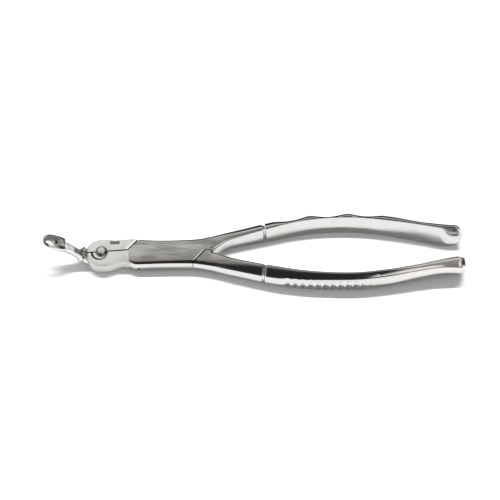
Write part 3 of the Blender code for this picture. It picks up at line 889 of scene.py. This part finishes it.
def seam(n, fields, start, end):
    """One along a line between two plan points, fading to nothing beside it."""
    run = Vector(end) - Vector(start)
    along = run.normalized()
    offset_x = n.math('SUBTRACT', fields["x"], start[0])
    offset_y = n.math('SUBTRACT', fields["y"], start[1])
    distance = n.math('ADD', n.times(offset_x, along.x), n.times(offset_y, along.y))
    side = n.math('ABSOLUTE', beside_line(n, fields, start, end))
    return n.times(
        n.ramp(side, SEAM_HALF + SEAM_FADE, SEAM_HALF),
        n.ramp(distance, -SEAM_FADE, 0.0),
        n.ramp(distance, run.length + SEAM_FADE, run.length),
    )


def zone(n, fields, name):
    """One inside a named zone, and zero outside it."""
    return n.times(*[n.ramp(fields[field], *limits) for field, *limits in ZONES[name]])


def steel_zones(n, fields):
    """The shares of the named zones that several layers use."""
    zones = {name: zone(n, fields, name) for name in ZONES}
    box_front = zones["box_front"]
    zones["box"] = n.times(box_front, zones["box_rear"], zones["flat"])
    zones["arm"] = n.times(zones["arm_front"], n.math('SUBTRACT', 1.0, box_front))
    zones["neck"] = n.times(zones["neck_run"], zones["neck_top"])
    zones["ground"] = n.times(fields["grain"], zones["box"])
    return zones


def ground_colour(n, fields, zones):
    """Ground box: paler by the step, darker at both edges, streaked and browned."""
    tone = n.times(*[n.ramp(fields[field], *change) for field, *change in BOX_TONES])
    satin = n.scaled(SATIN, tone)
    warm = n.most(n.times(zones["warm_edge"], WARM_EDGE_SHARE),
                  n.times(zones["warm_patch"], WARM_PATCH_SHARE))
    return n.mix(warm, satin, BROWNED)


def steel_colour(n, fields, zones):
    """Colours laid over one another, from the polished steel to the black shade painted into
    the seams.
    """
    frosted = n.mix(zones["cloudy"], FROSTED, FROSTED_DARK)
    edges = n.most(n.times(zones["lower_edge"], zones["beak"], LOWER_EDGE_SHARE),
                   n.times(zones["upper_edge"], zones["neck_run"], UPPER_EDGE_SHARE))
    chamfer_highlights = n.most(*[seam(n, fields, *line) for line in CHAMFER_HIGHLIGHT_LINES])
    seams = n.most(*[seam(n, fields, *line) for line in SEAMS])
    # Gaps of the seams and round the guide pin, painted black as shade
    crevices = n.most(n.times(seams, zones["seams_run"]),
                      n.times(zones["pin_notch"], PIN_NOTCH_SHARE))
    layers = (
        (zones["box"], ground_colour(n, fields, zones)),
        (zones["arm"], frosted),
        (zones["beak"], BEAK_STEEL),
        # painted highlight on the neck's upward faces
        (zones["neck"], NECK_PAINTED_HIGHLIGHT),
        (zones["beak_root"], ROOT_SHADE),
        (edges, EDGE_SHADE),
        # painted shade in the cups' hollow
        (zones["cup"], CUP_PAINTED_SHADE),
        (n.times(zones["stain"], STAIN_SHARE), TARNISH),
        (zones["waist"], WAIST_SHADE),
        # painted sheen on the flare's upward faces
        (zones["flare"], FLARE_PAINTED_SHEEN),
        # painted dark reflection on the near handle's end
        (zones["end_cap"], PAINTED_BLACK_SHADE_AND_REFLECTION),
        (n.times(zones["tooth_notches"], TOOTH_NOTCH_SHARE), NOTCH_SHADE),
        # painted highlights beside the shoulders
        (n.times(chamfer_highlights, zones["flat"], CHAMFER_HIGHLIGHT_SHARE), CHAMFER_PAINTED_HIGHLIGHT),
        (n.times(seam(n, fields, *STEP_LINE), STEP_SHARE), STEP_SHADE),
        # painted black shade in the gaps
        (crevices, PAINTED_BLACK_SHADE_AND_REFLECTION),
    )
    colour = BRIGHT
    for share, layer in layers:
        colour = n.mix(share, colour, layer)
    return colour


def steel_normal(n, fields, zones):
    """Ground, frosted and hand-finished surface.

    The far handle's inner face is ground a little hollow, so its normal sags and
    it mirrors the table in front of it.
    """
    sag = n.times(zones["hollow"], n.ramp(fields["x"], *HOLLOW_SAG), -1.0)
    downwards = n.add("ShaderNodeCombineXYZ", Z=sag).outputs[0]
    surface = n.add("ShaderNodeNewGeometry").outputs["Normal"]
    heights = (zones["ground"], n.times(fields["speck"], zones["arm"]), fields["wave"],
               fields["hairline"])
    normal = n.vector_sum(surface, downwards)
    for height, (strength, distance) in zip(heights, BUMPS):
        normal = n.bump(height, strength, distance, normal)
    return normal


def steel(name):
    """Instrument steel: mirror handles and beaks, brushed box, frosted arms."""
    material, n, inputs = new_material(name)
    fields = steel_fields(n)
    zones = steel_zones(n, fields)
    rough = [n.times(zones[zone_name], amount) for zone_name, amount in ROUGHNESS]
    dull = [n.times(zones[zone_name], amount) for zone_name, amount in DULLNESS]
    n.put(inputs["Base Color"], steel_colour(n, fields, zones))
    n.put(inputs["Roughness"], n.add_up(POLISH_ROUGHNESS, *rough))
    n.put(inputs["Metallic"], n.math('SUBTRACT', 1.0, n.add_up(*dull)))
    n.put(inputs["Normal"], steel_normal(n, fields, zones))
    return material


def pin_steel():
    """Turned pin: conical flank with lathe rings, painted dark as the dark reflection of its
    polished cone; pale crown.
    """
    material, n, inputs = new_material("pin_finish")
    place = n.add("ShaderNodeTexCoord").outputs["Object"]
    x, y, _ = n.add("ShaderNodeSeparateXYZ", Vector=place).outputs
    radius = n.length(n.math('SUBTRACT', x, PIN_POINT[0] * MM),
                      n.math('SUBTRACT', y, PIN_POINT[1] * MM))
    crown = n.ramp(radius, (PIN_CROWN + PIN_CROWN_FADE) * MM, (PIN_CROWN - PIN_CROWN_FADE) * MM)
    rings = n.math('SINE', n.times(radius, 2.0 * math.pi / (PIN_RING_PITCH * MM)))
    speck = n.noise(place, *PIN_SPECK)
    # Painted dark reflection on the flank, speckled
    flank = n.mix(speck, PIN_FLANK_REFLECTION_DARK, PIN_FLANK_REFLECTION_PALE)
    n.put(inputs["Base Color"], n.mix(crown, flank, PIN_CROWN_STEEL))
    n.put(inputs["Roughness"], n.ramp(speck, *PIN_ROUGHNESS))
    n.put(inputs["Metallic"], n.math('SUBTRACT', 1.0, n.times(crown, PIN_CROWN_DULLNESS)))
    n.put(inputs["Normal"], n.bump(rings, *PIN_RING_BUMP))
    return material


def finish(obj, material, node, body):
    """Put a finished piece on the frame in place of its node."""
    obj.data.transform(Matrix.Translation((0.0, 0.0, MESH_LIFT)))
    obj.data.materials.clear()
    obj.data.materials.append(material)
    obj.data.shade_smooth()
    obj.data.set_sharp_from_angle(angle=SMOOTH_ANGLE)
    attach(obj, body)
    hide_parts(node)


def build_upper_half():
    """Top layer of the box, with the near arm, the near beak and the far handle."""
    half = half_body("upper_half_piece", 1.0)
    combine(half, handle("far_handle", 1.0, True), 'UNION')
    combine(half, beak("near_beak", -1.0), 'UNION')
    combine(half, cup_cutter(), 'DIFFERENCE')
    past = BOX_HEIGHT
    foot = BOSS_RADIUS + CLEARANCE
    foot_top = BOSS_FOOT_TOP + CLEARANCE
    head = PIN_HEAD + CLEARANCE
    cut_round(half, beside_pin((0.0, 0.0)), foot, -past, foot_top)
    cut_round(half, beside_pin((0.0, 0.0)), head, BOSS_FOOT_TOP, past)
    cut_round(half, beside_pin(NOTCH_SHIFT), NOTCH_RADIUS, -past, past)
    combine(half, rivet_hole(), 'DIFFERENCE')
    finish(half, steel("upper_steel"), "upper_half", "upper")


def build_lower_half():
    """Bottom layer of the box, with the far arm, the far beak and the near handle."""
    half = half_body("lower_half_piece", -1.0)
    half.data.transform(Matrix.Rotation(math.pi, 4, 'X'))
    combine(half, handle("near_handle", -1.0, False), 'UNION')
    combine(half, beak("far_beak", 1.0), 'UNION')
    combine(half, cup_cutter(), 'DIFFERENCE')
    base = -ARM_HEIGHT / 2.0
    add_round(half, beside_pin((0.0, 0.0)), BOSS_RADIUS, base, BOSS_FOOT_TOP)
    add_round(half, beside_pin(COLLAR_SHIFT), COLLAR_RADIUS, base, COLLAR_TOP)
    cut_round(half, PIN_POINT, PIN_SHANK + PIN_GAP, -BOX_HEIGHT, BOX_HEIGHT)
    combine(half, waist_facet(), 'DIFFERENCE')
    combine(half, rivet_hole(), 'DIFFERENCE')
    finish(half, steel("lower_steel"), "lower_half", "lower")


def build_hinge_rivet():
    """Rivet through the middle of the box, flush with both of its faces."""
    rivet = turned("rivet_piece", (0.0, 0.0), rivet_profile(0.0))
    finish(rivet, steel("rivet_finish"), "hinge_rivet", "lower")


def build_guide_pin():
    """Guide pin in the far arm's boss, with its raised conical head."""
    seat = ARM_HEIGHT / 2.0
    head = seat + PIN_SEAT
    out, down = PIN_CROWN_BEVEL
    pin = turned("pin_piece", PIN_POINT, [
        (PIN_SHANK, -seat), (PIN_SHANK, head), (PIN_HEAD - PIN_BEVEL, head),
        (PIN_HEAD, head + PIN_BEVEL), (PIN_HEAD - PIN_TAPER, head + PIN_RIM),
        (PIN_CROWN + out, head + PIN_RISE - down), (PIN_CROWN, head + PIN_RISE),
    ])
    finish(pin, pin_steel(), "guide_pin", "lower")


# Studio

def floor():
    """Plain pale table that falls away with the instrument's underside."""
    bm = bmesh.new()
    bmesh.ops.create_grid(bm, x_segments=FLOOR_CELLS, y_segments=FLOOR_CELLS,
                          size=FLOOR_REACH)
    mesh = bpy.data.meshes.new("floor")
    bm.to_mesh(mesh)
    bm.free()
    obj = bpy.data.objects.new("floor", mesh)
    bpy.context.scene.collection.objects.link(obj)
    obj.location.z = FLOOR_LEVEL * MM + MESH_LIFT
    obj.rotation_euler.y = math.atan(FLOOR_FALL)
    material, n, inputs = new_material("pale_floor")
    place = n.add("ShaderNodeTexCoord").outputs["Object"]
    n.put(inputs["Base Color"], n.mix(n.noise(place, *FLOOR_CLOUD), *FLOOR_PALE))
    inputs["Roughness"].default_value = FLOOR_ROUGHNESS
    inputs["Specular IOR Level"].default_value = 0.0
    mesh.materials.append(material)


def lamp():
    """A long softbox that the floor sees but the polished steel doesn't mirror."""
    light = bpy.data.lights.new("key", 'AREA')
    light.shape = 'RECTANGLE'
    light.size = LAMP_LENGTH
    light.size_y = LAMP_DEPTH
    light.energy = LAMP_POWER
    obj = bpy.data.objects.new("key", light)
    bpy.context.scene.collection.objects.link(obj)
    direction = Vector(LAMP_TOWARDS).normalized()
    obj.location = Vector((CAMERA_RIGHT, 0.0, 0.0)) + direction * LAMP_DISTANCE
    side = Vector((1.0, 0.0, 0.0))
    side = (side - direction * side.dot(direction)).normalized()
    turned_axes = Matrix((side, direction.cross(side), direction)).transposed()
    obj.rotation_euler = turned_axes.to_euler()
    obj.visible_glossy = False


def studio():
    """What the steel mirrors: a ramp around the X axis, with panels along it."""
    world = bpy.data.worlds.new("studio")
    bpy.context.scene.world = world
    world.use_nodes = True
    n = Nodes(world.node_tree)
    direction = n.add("ShaderNodeTexCoord").outputs["Generated"]
    dx, dy, dz = n.add("ShaderNodeSeparateXYZ", Vector=direction).outputs
    share = n.math('DIVIDE', n.math('ARCTAN2', dz, n.times(dy, -1.0)), math.pi)
    ramp = n.add("ShaderNodeValToRGB", Fac=share)
    elements = ramp.color_ramp.elements
    for place, _ in STUDIO[1:-1]:
        elements.new(place)
    for element, (place, value) in zip(elements, STUDIO):
        element.position = place
        element.color = (*[value * tint for tint in STUDIO_TINT], 1.0)
    window = n.times(*[n.ramp(dx, *limits) for limits in WINDOW_ALONG],
                     *[n.ramp(share, *limits) for limits in WINDOW_AROUND])
    colour = n.mix(n.ramp(dx, *LEFT_PANEL), ramp.outputs[0], LEFT_PANEL_COLOUR)
    colour = n.mix(n.ramp(dx, *RIGHT_PANEL), colour, RIGHT_PANEL_COLOUR)
    colour = n.mix(window, colour, WINDOW_COLOUR)
    seen = n.add("ShaderNodeLightPath").outputs["Is Camera Ray"]
    n.put(world.node_tree.nodes["Background"].inputs["Color"], n.mix(seen, colour, BACKDROP))


def camera():
    """Long lens that looks down on the instrument from its near side."""
    data = bpy.data.cameras.new("camera")
    data.type = 'PERSP'
    data.sensor_width = SENSOR
    data.lens = SENSOR * CAMERA_DISTANCE / VIEW_SPAN
    data.clip_start, data.clip_end = CAMERA_CLIP
    obj = bpy.data.objects.new("camera", data)
    bpy.context.scene.collection.objects.link(obj)
    sine, cosine = math.sin(CAMERA_ELEVATION), math.cos(CAMERA_ELEVATION)
    level = Vector((1.0, 0.0, 0.0))
    upright = Vector((0.0, sine, cosine))
    back = Vector((0.0, -cosine, sine))
    up = upright * math.cos(CAMERA_ROLL) + level * math.sin(CAMERA_ROLL)
    right = level * math.cos(CAMERA_ROLL) - upright * math.sin(CAMERA_ROLL)
    aim = Vector((0.0, 0.0, MESH_LIFT)) + right * CAMERA_RIGHT + up * CAMERA_UP
    matrix = Matrix((right, up, back)).transposed().to_4x4()
    matrix.translation = aim + back * CAMERA_DISTANCE
    obj.matrix_world = matrix
    bpy.context.scene.camera = obj


build_upper_half()
build_lower_half()
build_hinge_rivet()
build_guide_pin()
floor()
lamp()
studio()
camera()
bpy.context.scene.view_settings.view_transform = 'Standard'

bpy.context.view_layer.update()
